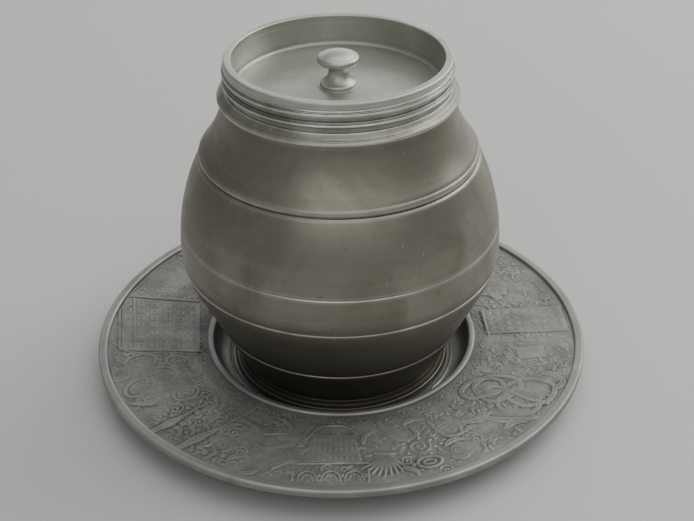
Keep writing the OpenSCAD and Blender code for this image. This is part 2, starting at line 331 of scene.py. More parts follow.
lidPewter = makePewter("satinPewter", lidFinish)
bodyPewter = makePewter("darkPewter", bodyFinish)
neckPewter = makePewter("rubbedPewter", neckFinish)
platePewter = makePewter("greyPewter", plateFinish)
reliefPewter = makePewter("carvedPewter", reliefFinish)
turnedSteel = makeSteel()
print("materials made")


# turned pieces: each outline comes from the CAD node and is turned again with soft edges and wear
def sliceNode(node):
    # the outline (radius, height) where a half-plane through the axis cuts a turned node
    mesh = cadNodes[node].data
    places = np.array([v.co for v in mesh.vertices], float)
    keys = {}
    same = np.array([keys.setdefault(tuple(np.round(p * 1e7).astype(int)), len(keys)) for p in places])
    turn = 1e-4
    normal = np.array([-math.sin(turn), math.cos(turn), 0])
    side = places @ normal
    side = np.where(np.abs(side) < 1e-12, 1e-12, side)
    outward = places @ np.array([math.cos(turn), math.sin(turn), 0])
    links, points = {}, {}
    for polygon in mesh.polygons:
        corners = list(polygon.vertices)
        crossed = []
        for a, b in zip(corners, corners[1:] + corners[:1]):
            if (side[a] > 0) != (side[b] > 0):
                key = (min(same[a], same[b]), max(same[a], same[b]))
                share = side[a] / (side[a] - side[b])
                reach = outward[a] + (outward[b] - outward[a]) * share
                level = places[a][2] + (places[b][2] - places[a][2]) * share
                crossed.append((key, reach, level))
        if len(crossed) != 2 or crossed[0][0] == crossed[1][0] or max(crossed[0][1], crossed[1][1]) < 0:
            continue
        crossed.sort(key=lambda c: c[1])
        (firstKey, r0, z0), (lastKey, r1, z1) = crossed
        if r0 < 0:  # the face reaches over the axis, so it is cut there
            z0 = z0 + (z1 - z0) * r0 / (r0 - r1)
            firstKey, r0 = ("axis", round(z0 * 1e6)), 0.0
        points[firstKey], points[lastKey] = (r0, z0), (r1, z1)
        links.setdefault(firstKey, set()).add(lastKey)
        links.setdefault(lastKey, set()).add(firstKey)
    ends = [k for k, near in links.items() if len(near) == 1]
    start = min(ends or links, key=lambda k: points[k][1])
    chain, last, here = [start], None, start
    while True:
        onward = [k for k in sorted(links[here], key=str) if k != last and k not in chain[1:]]
        if not onward or onward[0] == start:
            break
        last, here = here, onward[0]
        chain.append(here)
    outline = np.array([points[k] for k in chain])
    return outline, not ends


def dropStraight(points, closed):
    # leaves out doubles and the points that lie on a straight run
    kept = [points[0]]
    for p in points[1:]:
        if np.hypot(*(p - kept[-1])) > 2e-6:
            kept.append(p)
    if closed and np.hypot(*(kept[0] - kept[-1])) < 2e-6:
        kept.pop()
    kept = np.array(kept)
    turned = turnAngles(kept, closed)
    keep = turned > math.radians(0.25)
    if not closed:
        keep[0] = keep[-1] = True
    return kept[keep]


def turnAngles(points, closed):
    before = points - np.roll(points, 1, axis=0)
    after = np.roll(points, -1, axis=0) - points
    cross = before[:, 0] * after[:, 1] - before[:, 1] * after[:, 0]
    dot = (before * after).sum(1)
    angles = np.abs(np.arctan2(cross, dot))
    if not closed:
        angles[0] = angles[-1] = 0
    return angles


def softenOutline(points, closed, step, edgeRound, cornerTurn=24.0):
    # corners get a small round edge, curved runs are drawn smoothly through their points
    count = len(points)
    isCorner = turnAngles(points, closed) > math.radians(cornerTurn)
    if not closed:
        isCorner[0] = isCorner[-1] = False
    spans = count if closed else count - 1
    made = []
    for i in range(spans):
        a, b = points[i], points[(i + 1) % count]
        length = np.hypot(*(b - a))
        before = points[i - 1] if (closed or i > 0) and not isCorner[i] else a - (b - a)
        afterIndex = (i + 2) % count
        runsOn = (closed or i + 2 < count) and not isCorner[(i + 1) % count]
        after = points[afterIndex] if runsOn else b + (b - a)
        cutStart = min(edgeRound, length * 0.4) if isCorner[i] else 0.0
        cutEnd = min(edgeRound, length * 0.4) if isCorner[(i + 1) % count] else 0.0
        straight = isCorner[i] and isCorner[(i + 1) % count]
        parts = max(1, int(math.ceil(length / step)))
        run = []
        for k in range(parts + 1):
            t = cutStart / length + (1 - (cutStart + cutEnd) / length) * k / parts
            if straight:
                p = a + (b - a) * t
            else:
                # limited tangents keep uneven spans from swinging out
                ta = (b - before) * (length / max(np.hypot(*(b - a)) + np.hypot(*(a - before)), 1e-9))
                tb = (after - a) * (length / max(np.hypot(*(b - a)) + np.hypot(*(after - b)), 1e-9))
                h = (2 * t**3 - 3 * t**2 + 1, t**3 - 2 * t**2 + t, -2 * t**3 + 3 * t**2, t**3 - t**2)
                p = h[0] * a + h[1] * ta + h[2] * b + h[3] * tb
            run.append(p)
        if made and cutStart > 0:
            start, corner, end = made[-1], a, run[0]
            for s in (0.25, 0.5, 0.75):
                made.append((1 - s) ** 2 * start + 2 * s * (1 - s) * corner + s * s * end)
            made.extend(run)
        else:
            made.extend(run if not made or np.hypot(*(made[-1] - run[0])) > 1e-7 else run[1:])
    if closed and isCorner[0]:
        start, corner, end = made[-1], points[0], made[0]
        made.extend(
            [(1 - s) ** 2 * start + 2 * s * (1 - s) * corner + s * s * end for s in (0.25, 0.5, 0.75)]
        )
    made = np.array(made)
    if closed:
        if np.hypot(*(made[0] - made[-1])) < 1e-7:
            made = made[:-1]
        made = np.vstack([made, made[:1]])
    made[:, 0] = np.maximum(made[:, 0], 0)
    return made


def addRidge(outline, ridge):
    # a low round ridge turned on a flat part of the outline
    radius, width, level = ridge["radius"] * mm, ridge["width"] * mm, ridge["level"] * mm
    made = []
    for a, b in zip(outline[:-1], outline[1:]):
        made.append(a)
        isLevel = abs(a[1] - level) < 0.7 * mm and abs(b[1] - level) < 0.7 * mm
        if isLevel and min(a[0], b[0]) < radius + 3 * width and max(a[0], b[0]) > radius - 3 * width:
            parts = int(math.hypot(*(b - a)) / (width / 3)) + 1
            made.extend(a + (b - a) * k / parts for k in range(1, parts))
    made.append(outline[-1])
    made = np.array(made)
    onTop = np.abs(made[:, 1] - level) < 0.7 * mm
    made[:, 1] += ridge["height"] * mm * np.exp(-(((made[:, 0] - radius) / width) ** 2)) * onTop
    return made


def outlineWear(points, closed, spread):
    # how far each point stands out of, or sinks into, the outline near it
    ring = points[:-1] if closed else points
    area = 0.5 * np.sum(ring[:, 0] * np.roll(ring[:, 1], -1) - np.roll(ring[:, 0], -1) * ring[:, 1])
    before = np.roll(ring, 1, axis=0)
    after = np.roll(ring, -1, axis=0)
    a, b = ring - before, after - ring
    bend = np.arctan2(a[:, 0] * b[:, 1] - a[:, 1] * b[:, 0], (a * b).sum(1)) * np.sign(area)
    if not closed:
        bend[0] = bend[-1] = 0
    gap = np.sqrt(((ring[:, None] - ring[None]) ** 2).sum(2))
    near = np.exp(-((gap / spread) ** 2))
    total = near @ bend
    edge = np.clip(total / math.radians(70), 0, 1)
    hollow = np.clip(-total / math.radians(80), 0, 1)
    if closed:
        edge, hollow = np.append(edge, edge[0]), np.append(hollow, hollow[0])
    return edge, hollow


def makeTurnTree():
    # turns the outline held in the XZ plane into a closed skin round Z
    tree, given, result = newTree(
        "turnedSkin",
        "GeometryNodeTree",
        [
            ("Geometry", "Geometry", None),
            ("Segments", "Int", 240),
            ("Waver mm", "Float", 0.05),
            ("Seed", "Float", 1.0),
            ("Metal", "Material", None),
        ],
        [("Geometry", "Geometry")],
    )
    tree.is_modifier = True
    segments = given["Segments"]
    count = addNode(
        tree, "GeometryNodeAttributeDomainSize", {0: given["Geometry"]}
    ).outputs["Point Count"]
    rows = minus(tree, count, 1.0)
    size = {
        "Size X": rows, "Size Y": segments, "Vertices X": count, "Vertices Y": plus(tree, segments, 1.0)
    }
    mesh = addNode(tree, "GeometryNodeMeshGrid", size).outputs["Mesh"]
    ownPlace = addNode(tree, "GeometryNodeInputPosition").outputs[0]
    gridPlace = splitVector(tree, ownPlace)
    index = doMath(tree, "ROUND", plus(tree, gridPlace[0], times(tree, rows, 0.5)))
    column = plus(tree, gridPlace[1], times(tree, segments, 0.5))
    angle = times(tree, doMath(tree, "DIVIDE", column, segments), math.tau)
    picks = {}
    for name, kind in (("place", "FLOAT_VECTOR"), ("edge", "FLOAT"), ("hollow", "FLOAT")):
        source = ownPlace
        if name != "place":
            source = addNode(
                tree, "GeometryNodeInputNamedAttribute", {"Name": name}, data_type="FLOAT"
            ).outputs[0]
        inputs = {"Geometry": given["Geometry"], "Value": source, "Index": index}
        picks[name] = addNode(tree, "GeometryNodeSampleIndex", inputs, data_type=kind).outputs["Value"]
    outline = splitVector(tree, picks["place"])
    aim = joinVector(tree, doMath(tree, "COSINE", angle), doMath(tree, "SINE", angle))
    # hand finishing leaves the wall a little out of round
    seeded = joinVector(tree, given["Seed"], 0.0, times(tree, outline[2], 28.0))
    around = doVector(tree, "ADD", doVector(tree, "SCALE", aim, scale=1.1), seeded)
    sway = minus(tree, doNoise(tree, around, 1.6), 0.5)
    waver = times(tree, sway, times(tree, given["Waver mm"], 2 * mm))
    steady = times(tree, waver, doRange(tree, outline[0], 0.0, 5 * mm))
    flat = doVector(tree, "SCALE", aim, scale=plus(tree, outline[0], steady))
    target = doVector(tree, "ADD", flat, joinVector(tree, z=outline[2]))
    for name in ("edge", "hollow"):
        inputs = {"Geometry": mesh, "Name": name, "Value": picks[name]}
        mesh = addNode(
            tree, "GeometryNodeStoreNamedAttribute", inputs, data_type="FLOAT", domain="POINT"
        ).outputs[0]
    mesh = addNode(tree, "GeometryNodeSetPosition", {"Geometry": mesh, "Position": target}).outputs[0]
    mesh = addNode(tree, "GeometryNodeMergeByDistance", {"Geometry": mesh, "Distance": 2e-7}).outputs[0]
    closeTree(tree, mesh, given["Metal"], result)
    return tree


def closeTree(tree, geometry, metal, result):
    real = addNode(tree, "GeometryNodeRealizeInstances", {"Geometry": geometry}).outputs[0]
    paint = addNode(tree, "GeometryNodeSetMaterial", {"Geometry": real, "Material": metal})
    plug(tree, result[0], paint.outputs[0])


def runNodes(piece, tree, values):
    # sets the inputs, then the evaluated result becomes the piece's own plain mesh
    modifier = piece.modifiers.new(tree.name, "NODES")
    modifier.node_group = tree
    for item in tree.interface.items_tree:
        if item.item_type == "SOCKET" and item.in_out == "INPUT" and item.name in values:
            modifier[item.identifier] = values[item.name]
    bpy.context.view_layer.update()
    evaluated = piece.evaluated_get(bpy.context.evaluated_depsgraph_get())
    mesh = bpy.data.meshes.new_from_object(evaluated)
    piece.modifiers.clear()
    piece.data = mesh
    mesh.name = piece.name
    return mesh


def newPiece(name, mesh):
    piece = bpy.data.objects.new(name, mesh)
    bpy.context.scene.collection.objects.link(piece)
    return piece


def storeNumbers(mesh, name, numbers):
    attribute = mesh.attributes.new(name, "FLOAT", "POINT")
    attribute.data.foreach_set("value", numbers.astype(np.float32))


def outwardNormals(mesh):
    work = bmesh.new()
    work.from_mesh(mesh)
    bmesh.ops.recalc_face_normals(work, faces=work.faces)
    if work.calc_volume(signed=True) < 0:
        bmesh.ops.reverse_faces(work, faces=work.faces)
    work.to_mesh(mesh)
    work.free()


turnTree = makeTurnTree()


def turnPiece(name, values):
    node, metal, body = values["node"], values["metal"], values["body"]
    points, closed = sliceNode(node)
    points = dropStraight(points, closed)
    outline = softenOutline(
        points, closed, values.get("step", 1.2) * mm, values.get("edgeRound", 0.15) * mm
    )
    if "ridge" in values:
        outline = addRidge(outline, values["ridge"])
    edge, hollow = outlineWear(outline, closed, values.get("wearSpread", 0.35) * mm)
    for height in values.get("brightLines", ()):
        # painted highlight: a bright glint is painted along the upward lip of each cut line
        near = np.abs(outline[:, 1] - height * mm) < 1.0 * mm
        outer = outline[:, 0] > outline[near, 0].max() - 0.7 * mm
        edge = np.maximum(
            edge, 1.2 * np.exp(-(((outline[:, 1] - height * mm) / (0.28 * mm)) ** 2)) * outer
        )
        hollow = hollow * np.where(outer & near, 0.3, 1.0)
    mesh = bpy.data.meshes.new(name + "Outline")
    mesh.from_pydata([(r, 0, z) for r, z in outline], [(i, i + 1) for i in range(len(outline) - 1)], [])
    # the edge attribute holds rubbed edges and the painted highlight lines
    storeNumbers(mesh, "edge", edge * values.get("wear", 1.0))
    storeNumbers(mesh, "hollow", hollow * values.get("grime", 0.6))
    piece = newPiece(name, mesh)
    inputs = {
        "Segments": values.get("segments", 240),
        "Waver mm": values.get("waver", 0.04),
        "Seed": values.get("seed", 1.0),
        "Metal": metal,
    }
    made = runNodes(piece, turnTree, inputs)
    dentWall(made, values.get("dents", ()))
    outwardNormals(made)
    made.shade_smooth()
    made.set_sharp_from_angle(angle=math.radians(40))
    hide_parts(node)
    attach(piece, body)
    print("turned", name, len(made.polygons), "faces")


def dentWall(mesh, dents):
    # each dent: angle in degrees, height, width and depth in mm; walls move in, both skins together
    if not dents:
        return
    places = np.zeros(len(mesh.vertices) * 3)
    mesh.vertices.foreach_get("co", places)
    places = places.reshape(-1, 3)
    reach = np.hypot(places[:, 0], places[:, 1])
    turn = np.arctan2(places[:, 1], places[:, 0])
    for angle, height, width, depth in dents:
        apart = np.angle(np.exp(1j * (turn - math.radians(angle)))) * reach
        away = np.hypot(apart, places[:, 2] - height * mm) / (width * mm)
        push = depth * mm * np.exp(-(away**2) * 2.2)
        places[:, 0] -= push * np.cos(turn)
        places[:, 1] -= push * np.sin(turn)
    mesh.vertices.foreach_set("co", places.ravel())


bowlDents = (
    (-152, 66.0, 13.0, 0.34), (-78, 101.5, 2.2, 0.10), (-44, 78.0, 1.2, 0.10), (-66, 60.5, 1.0, 0.07),
    (-30, 74.0, 16.0, 0.14),
    (-115, 88.0, 9.0, 0.12), (-95, 42.0, 5.0, 0.08), (40, 70.0, 12.0, 0.22), (105, 84.0, 7.0, 0.15),
    (150, 58.0, 2.0, 0.12),
    (70, 47.0, 4.0, 0.10), (-10, 92.0, 3.0, 0.09), (-168, 90.0, 4.0, 0.1),
)
turnedPieces = {
    "plateRim": {
        "node": "plate_rim", "metal": platePewter, "body": "plate", "segments": 360, "step": 0.6,
        "edgeRound": 0.3, "waver": 0.12, "seed": 2.0, "wear": 0.6, "wearSpread": 0.8
    },
    "plateWell": {
        "node": "plate_well", "metal": platePewter, "body": "plate", "segments": 300, "waver": 0.04,
        "seed": 3.0, "wear": 0.4, "wearSpread": 0.6,
        "ridge": {"radius": 46.1, "height": 0.4, "width": 0.45, "level": 2.2}
    },
    "bowlFoot": {
        "node": "foot_ring", "metal": bodyPewter, "body": "bowl", "step": 0.6, "edgeRound": 0.35,
        "waver": 0.05, "seed": 4.0, "wear": 0.05, "grime": 1.2
    },
    "bowlBase": {
        "node": "base_disc", "metal": bodyPewter, "body": "bowl", "step": 4.0, "segments": 120,
        "waver": 0.0
    },
    "bowlLower": {
        "node": "lower_shell", "metal": bodyPewter, "body": "bowl", "waver": 0.10, "seed": 5.0,
        "segments": 280, "dents": bowlDents, "wear": 0.95, "wearSpread": 0.35, "edgeRound": 0.32,
        # heights in mm of painted highlight lines
        "brightLines": (52.3, 24.2)
    },
    "bowlUpper": {
        "node": "upper_shell", "metal": bodyPewter, "body": "bowl", "waver": 0.10, "seed": 5.0,
        "segments": 280, "dents": bowlDents, "wear": 0.85, "wearSpread": 0.35, "edgeRound": 0.25,
        # height in mm of a painted highlight line
        "brightLines": (67.7,)
    },
    "bowlShoulder": {
        "node": "shoulder", "metal": bodyPewter, "body": "bowl", "waver": 0.08, "seed": 6.0,
        "segments": 280, "dents": bowlDents, "wear": 0.45, "wearSpread": 1.2
    },
    "neckCollar": {
        "node": "neck_collar", "metal": neckPewter, "body": "bowl", "waver": 0.05, "seed": 7.0,
        "step": 0.5, "wear": 0.8, "grime": 0.9
    },
    "neckTube": {
        "node": "neck", "metal": neckPewter, "body": "bowl", "waver": 0.04, "seed": 8.0, "step": 0.6,
        "wear": 1.1, "grime": 1.3
    },
    "mouthRing": {
        "node": "mouth_ring", "metal": neckPewter, "body": "bowl", "waver": 0.05, "seed": 9.0,
        "step": 0.4, "wear": 1.6, "wearSpread": 0.25, "grime": 1.5
    },
    "lidPan": {
        "node": "lid_pan", "metal": lidPewter, "body": "lid", "waver": 0.03, "seed": 10.0, "wear": 0.15,
        "edgeRound": 0.05
    },
    "lidRim": {
        "node": "lid_rim", "metal": lidPewter, "body": "lid", "waver": 0.05, "seed": 11.0, "step": 0.5,
        "wear": 0.1, "edgeRound": 0.08, "grime": 0.3
    },
    "knobSpool": {
        "node": "knob", "metal": lidPewter, "body": "lid", "waver": 0.03, "seed": 12.0, "step": 0.35,
        "segments": 96, "wear": 0.25, "grime": 0.6
    },
    "knobSeat": {
        "node": "knob_washer", "metal": lidPewter, "body": "lid", "waver": 0.04, "seed": 13.0,
        "step": 0.4, "segments": 96, "edgeRound": 0.1
    },
}
for pieceName, values in turnedPieces.items():
    turnPiece(pieceName, values)
for node in ("knob_stud", "knob_nut"):
    cadNodes[node].data.materials.clear()
    cadNodes[node].data.materials.append(turnedSteel)


# relief on the flange: a height field over the whole band, carved mark by mark
reliefValues = {
    "inner": 56.5, "outer": 96.4,  # mm, the band that carries the relief
    "around": 2400, "across": 161, "sectors": 5,
    "grainHeight": 0.035, "cavityReach": 1.3,  # mm
    "seed": 11,
}
flangeOutline = {
    # radius and height in mm; the rest runs from the outer top edge round to the inner one
    "innerTop": (60.7, 10.4), "outerTop": (98.02, 12.0),
    "rest": [
        (98.02, 12.0), (98.02, 10.2), (90.0, 9.856), (80.0, 9.427), (70.0, 8.999),
        (60.7, 8.6), (53.6, 8.6), (53.6, 10.4), (55.6, 10.4),
    ],
}
reliefWear = {
    "edgeGain": 3.2, "edgeStart": 0.04, "edgeMost": 0.55,
    "sunkGain": 2.2, "tightGain": 4.5, "hollowStart": 0.04, "hollowMost": 0.85,
    "ringReach": 62.5, "ringFade": 3.0, "ringHollow": 0.30,
}
chance = np.random.default_rng(reliefValues["seed"])
turns = np.arange(reliefValues["around"]) * math.tau / reliefValues["around"]
reaches = np.linspace(reliefValues["inner"], reliefValues["outer"], reliefValues["across"])
reliefX = reaches[:, None] * np.cos(turns)[None]
reliefY = reaches[:, None] * np.sin(turns)[None]
reliefHigh = np.zeros_like(reliefX)
print("relief grid", reliefHigh.shape)


def softStep(value):
    value = np.clip(value, 0, 1)
    return value * value * (3 - 2 * value)


def pointAt(x, y, far, turn):
    return x + far * math.cos(turn), y + far * math.sin(turn)


def windowOf(x, y, reach):
    # the columns of the grid that a mark of this size can touch
    far = math.hypot(x, y)
    if far - reach > reliefValues["outer"] or far + reach < reliefValues["inner"]:
        return None
    half = math.asin(min(1.0, reach / max(reliefValues["inner"], far - reach, reach))) + 0.01
    middle = math.atan2(y, x) / math.tau * reliefValues["around"]
    count = int(half / math.tau * reliefValues["around"]) + 2
    return np.arange(int(middle) - count, int(middle) + count + 1) % reliefValues["around"]


def spread(away, shape):
    # away is 0 on the line and 1 at the edge of the mark
    inside = np.clip(1 - away, 0, 1)
    if shape == "band":  # flat strap with a raised lip on both edges
        lip = np.exp(-(((away - 0.78) / 0.17) ** 2))
        return softStep(inside * 5) * 0.45 + lip * 0.55 * (away < 1.05)
    if shape == "flat":
        return softStep(inside * 2.5)
    return softStep(inside * 1.35)  # round


def lift(columns, amount, mode="max"):
    here = reliefHigh[:, columns]
    if mode == "max":
        here = np.maximum(here, amount)
    elif mode == "add":
        here = here + amount
    else:
        here = here - amount
    reliefHigh[:, columns] = here


def smoothPath(points, parts=7, loop=False):
    points = np.array(points, float)
    count = len(points)
    path = []
    for i in range(count if loop else count - 1):
        p1, p2 = points[i], points[(i + 1) % count]
        p0 = points[i - 1] if loop or i > 0 else 2 * p1 - p2
        p3 = points[(i + 2) % count] if loop or i + 2 < count else 2 * p2 - p1
        for k in range(parts):
            t = k / parts
            square = (2 * p0 - 5 * p1 + 4 * p2 - p3) * t * t
            cube = (3 * p1 - p0 - 3 * p2 + p3) * t**3
            path.append(0.5 * (2 * p1 + (p2 - p0) * t + square + cube))
    path.append(points[0] if loop else points[-1])
    return np.array(path)


def stroke(path, width, height, shape="round", mode="max"):
    # width is the half width in mm, one number or one for each point
    path = np.array(path, float)
    wide = np.broadcast_to(np.array(width, float), len(path))
    tall = np.broadcast_to(np.array(height, float), len(path))
    middle = (path.min(0) + path.max(0)) / 2
    reach = np.hypot(*(path - middle).T).max() + wide.max() * 1.1
    columns = windowOf(middle[0], middle[1], reach)
    if columns is None:
        return
    x, y = reliefX[:, columns], reliefY[:, columns]
    best = np.zeros_like(x)
    for a, b, wa, wb, ha, hb in zip(path[:-1], path[1:], wide[:-1], wide[1:], tall[:-1], tall[1:]):
        run = b - a
        along = np.clip(((x - a[0]) * run[0] + (y - a[1]) * run[1]) / max(run @ run, 1e-9), 0, 1)
        away = np.hypot(x - a[0] - run[0] * along, y - a[1] - run[1] * along) / (wa + (wb - wa) * along)
        best = np.maximum(best, spread(away, shape) * (ha + (hb - ha) * along))
    lift(columns, best, mode)


def dome(x, y, long, short, height, turn=0.0, shape="round", mode="max"):
    columns = windowOf(x, y, max(long, short))
    if columns is None:
        return
    dx, dy = reliefX[:, columns] - x, reliefY[:, columns] - y
    u = dx * math.cos(turn) + dy * math.sin(turn)
    v = dy * math.cos(turn) - dx * math.sin(turn)
    lift(columns, spread(np.hypot(u / long, v / short), shape) * height, mode)


def oval(x, y, long, short, turn, width, height, shape="round"):
    angles = np.linspace(0, math.tau, 37)
    u, v = long * np.cos(angles), short * np.sin(angles)
    path = np.stack(
        [x + u * math.cos(turn) - v * math.sin(turn), y + u * math.sin(turn) + v * math.cos(turn)], 1
    )
    stroke(path, width, height, shape)


def panel(corners, height, edge=0.5, mode="max"):
    # corners run anticlockwise round a straight-sided shape
    corners = np.array(corners, float)
    middle = corners.mean(0)
    columns = windowOf(middle[0], middle[1], np.hypot(*(corners - middle).T).max())
    if columns is None:
        return
    x, y = reliefX[:, columns], reliefY[:, columns]
    inside = np.full_like(x, 1e9)
    for a, b in zip(corners, np.roll(corners, -1, axis=0)):
        run = (b - a) / np.hypot(*(b - a))
        inside = np.minimum(inside, run[0] * (y - a[1]) - run[1] * (x - a[0]))
    lift(columns, softStep(inside / edge) * height, mode)


def between4(corners, u, v):
    a, b, c, d = (np.array(p, float) for p in corners)
    return (a * (1 - u) + b * u) * (1 - v) + (d * (1 - u) + c * u) * v


def facade(corners, columnsOfWindows, rows, height=0.26, windowShare=0.5, lined=True):
    # corners: foot left, foot right, top right, top left
    panel(corners, height, 0.5)
    for row in range(rows):
        for column in range(columnsOfWindows):
            u0, v0 = (column + 0.5) / columnsOfWindows, (row + 0.6) / (rows + 0.35)
            du, dv = windowShare / columnsOfWindows / 2, windowShare / (rows + 0.35) / 2
            frameCorners = [
                between4(corners, u0 + su * du, v0 + sv * dv)
                for su, sv in ((-1, -1), (1, -1), (1, 1), (-1, 1))
            ]
            panel(frameCorners, 0.17, 0.35, "add")
            inner = [
                between4(corners, u0 + su * du * 0.5, v0 + sv * dv * 0.55)
                for su, sv in ((-1, -1), (1, -1), (1, 1), (-1, 1))
            ]
            panel(inner, 0.16, 0.3, "cut")
    if lined:
        for share in (0.0, 1.0):
            stroke([between4(corners, 0, share), between4(corners, 1, share)], 0.5, height + 0.14)
        stroke([between4(corners, -0.02, 0), between4(corners, -0.02, 1)], 0.45, height + 0.16)
        stroke(
            [between4(corners, -0.03, -0.035), between4(corners, 1.03, -0.035)], 0.45, 0.30, mode="cut"
        )


def leaf(start, end, width, height, bend=0.0, veins=True):
    start, end = np.array(start, float), np.array(end, float)
    run = end - start
    side = np.array([-run[1], run[0]])
    share = np.linspace(0, 1, 15)
    path = start + run * share[:, None] + side * (bend * np.sin(share * math.pi))[:, None]
    wide = width * np.sin(math.pi * share**0.75) ** 0.8 + 0.12
    stroke(path, wide, height, "flat")
    if veins:
        stroke(path[1:-1], 0.28, 0.16, mode="cut")
        length = np.hypot(*run)
        for k in range(2, 13, 2):
            for way in (-1, 1):
                tip = path[k] + run * 0.12 + way * side / length * wide[k] * 0.85
                stroke([path[k], tip], 0.2, 0.09, mode="cut")


def scroll(x, y, size, turn, way=1, width=0.55, height=0.36, laps=1.4):
    share = np.linspace(0, 1, int(22 * laps))
    angle = turn + way * share * laps * math.tau
    reach = size * (1 - 0.86 * share)
    path = np.stack([x + reach * np.cos(angle), y + reach * np.sin(angle)], 1)
    stroke(path, np.linspace(width, width * 0.65, len(path)), height)
    dome(path[-1][0], path[-1][1], width * 1.7, width * 1.7, height * 1.1)


def sprig(x, y, turn, length, leaves=5, width=1.1, height=0.34):
    tip = np.array([x + length * math.cos(turn), y + length * math.sin(turn)])
    base = np.array([x, y], float)
    stroke([base, tip], 0.35, height)
    for k in range(leaves):
        share = 0.25 + 0.7 * k / leaves
        for way in (-1, 1):
            p = base + (tip - base) * share
            angle = turn + way * 0.75
            reach = length * 0.34 * (1.15 - share * 0.6)
            leaf(
                p, p + reach * np.array([math.cos(angle), math.sin(angle)]),
                width * (1.1 - share * 0.5), height, 0.1 * way, veins=False
            )
    leaf(tip - (tip - base) * 0.15, tip + (tip - base) * 0.12, width * 0.7, height, veins=False)


def tree(x, y, size, seeds=26):
    # round headed tree with a short trunk
    stroke([(x, y - size * 1.1), (x, y)], size * 0.14, 0.3)
    dome(x, y + size * 0.25, size * 0.95, size * 0.85, 0.22, shape="flat")
    for k in range(seeds):
        angle, far = chance.uniform(0, math.tau), size * 0.85 * math.sqrt(chance.uniform(0, 1))
        dome(
            x + far * math.cos(angle), y + size * 0.25 + far * math.sin(angle) * 0.9, size * 0.2,
            size * 0.15, 0.17, angle, mode="add"
        )


def cottage(x, y, wide, tall, windows=3, rows=1, height=0.26):
    half = wide / 2
    facade(
        [(x - half, y), (x + half, y), (x + half, y + tall), (x - half, y + tall)], windows, rows,
        height, 0.42
    )
    roof = [
        (x - half - 0.9, y + tall), (x + half + 0.9, y + tall), (x + half * 0.62, y + tall * 1.75),
        (x - half * 0.62, y + tall * 1.75)
    ]
    panel(roof, height + 0.1, 0.5)
    for k in range(1, int(wide / 1.6)):
        share = k / int(wide / 1.6)
        stroke([between4(roof, share, 0.08), between4(roof, share, 0.92)], 0.25, 0.1, mode="cut")
    stroke([between4(roof, 0, 0), between4(roof, 1, 0)], 0.4, height + 0.2)


def fence(points, posts=9, tall=2.6, height=0.3):
    path = smoothPath(points, 10)
    stroke(path, 0.32, height * 0.8)
    stroke(path + (0, -tall * 0.5), 0.3, height * 0.7)
    for k in np.linspace(0, len(path) - 1, posts).astype(int):
        stroke([path[k] + (0, tall * 0.35), path[k] + (0, -tall)], 0.38, height)


def grass(count, low, high, turnFrom=0.0, turnTo=math.tau, long=1.6, height=0.14):
    for k in range(count):
        turn, far = chance.uniform(turnFrom, turnTo), chance.uniform(low, high)
        x, y = pointAt(0, 0, far, turn)
        lean = math.pi / 2 + chance.uniform(-0.8, 0.8)
        size = long * chance.uniform(0.5, 1.2)
        middle = (x + size * 0.5 * math.cos(lean) + 0.15, y + size * 0.5 * math.sin(lean))
        stroke([(x, y), middle, pointAt(x, y, size, lean + 0.3)], 0.24, height, mode="add")


def each(make, *rows):
    for row in rows:
        make(*row)


def carveLeft():
    # tall house with a tower, its back wing, and the oval flower beds in front of it
    facade([(-90, -13), (-57.5, -13), (-61, 21), (-95.5, 24)], 6, 7, 0.27, 0.6)
    stroke([(-84, -13), (-90, 24)], 0.55, 0.50)
    stroke([(-71, -13), (-76, 22.5)], 0.4, 0.40)
    facade([(-92.5, 25.5), (-63, 23), (-60, 40), (-80, 52)], 5, 3, 0.22, 0.5)
    for k in range(6):
        dome(-66 - k * 4.6, 24.4 + k * 0.35, 1.1, 0.8, 0.46)
    stroke(smoothPath([(-95, -8), (-86, -14.6), (-72, -14.2), (-59, -15.2)]), 0.42, 0.34)
    beds = (
        (-81, -21, 6.4, 4.6, 0.5), (-66, -20, 5.0, 3.6, -0.3), (-79, -38, 6.8, 4.6, 1.0),
        (-60.5, -41, 5.2, 3.8, 0.7), (-71.5, -29.5, 6.6, 5.2, 0.2), (-88, -30, 4.4, 3.6, 0.9)
    )
    softMasses(
        (-80, -26, 11, 9, 0.4, 0.2), (-66, -32, 9, 10, 0.2, 0.2), (-74, -42, 12, 8, -0.5, 0.2),
        (-72, -54, 9, 5, 0.6, 0.18)
    )
    for x, y, long, short, turn in beds:
        oval(x, y, long, short, turn, 0.62, 0.36, "band")
        oval(x, y, long * 0.62, short * 0.58, turn, 0.36, 0.26)
        for k in range(7):
            angle = turn + k * math.tau / 7
            end = (x + long * 0.5 * math.cos(angle), y + short * 0.5 * math.sin(angle))
            stroke([(x, y), end], 0.24, 0.24)
        dome(x, y, 0.9, 0.8, 0.38)
    for k in range(5):
        stroke([(-68 + k * 1.5, -27), (-64.5 + k * 1.5, -33)], 0.22, 0.42)
        stroke([(-61.5 - k * 1.5, -27), (-65 - k * 1.5, -33)], 0.22, 0.42)
    sprig(-90, -24, -1.9, 8, 4)
    scroll(-73, -47, 3.6, 0.4, 1)
    scroll(-63, -51, 3.0, 2.0, -1)
    leaf((-70, -44), (-82, -48), 1.7, 0.34, 0.18)
    leaf((-66, -55), (-77, -57), 1.4, 0.32, -0.2)


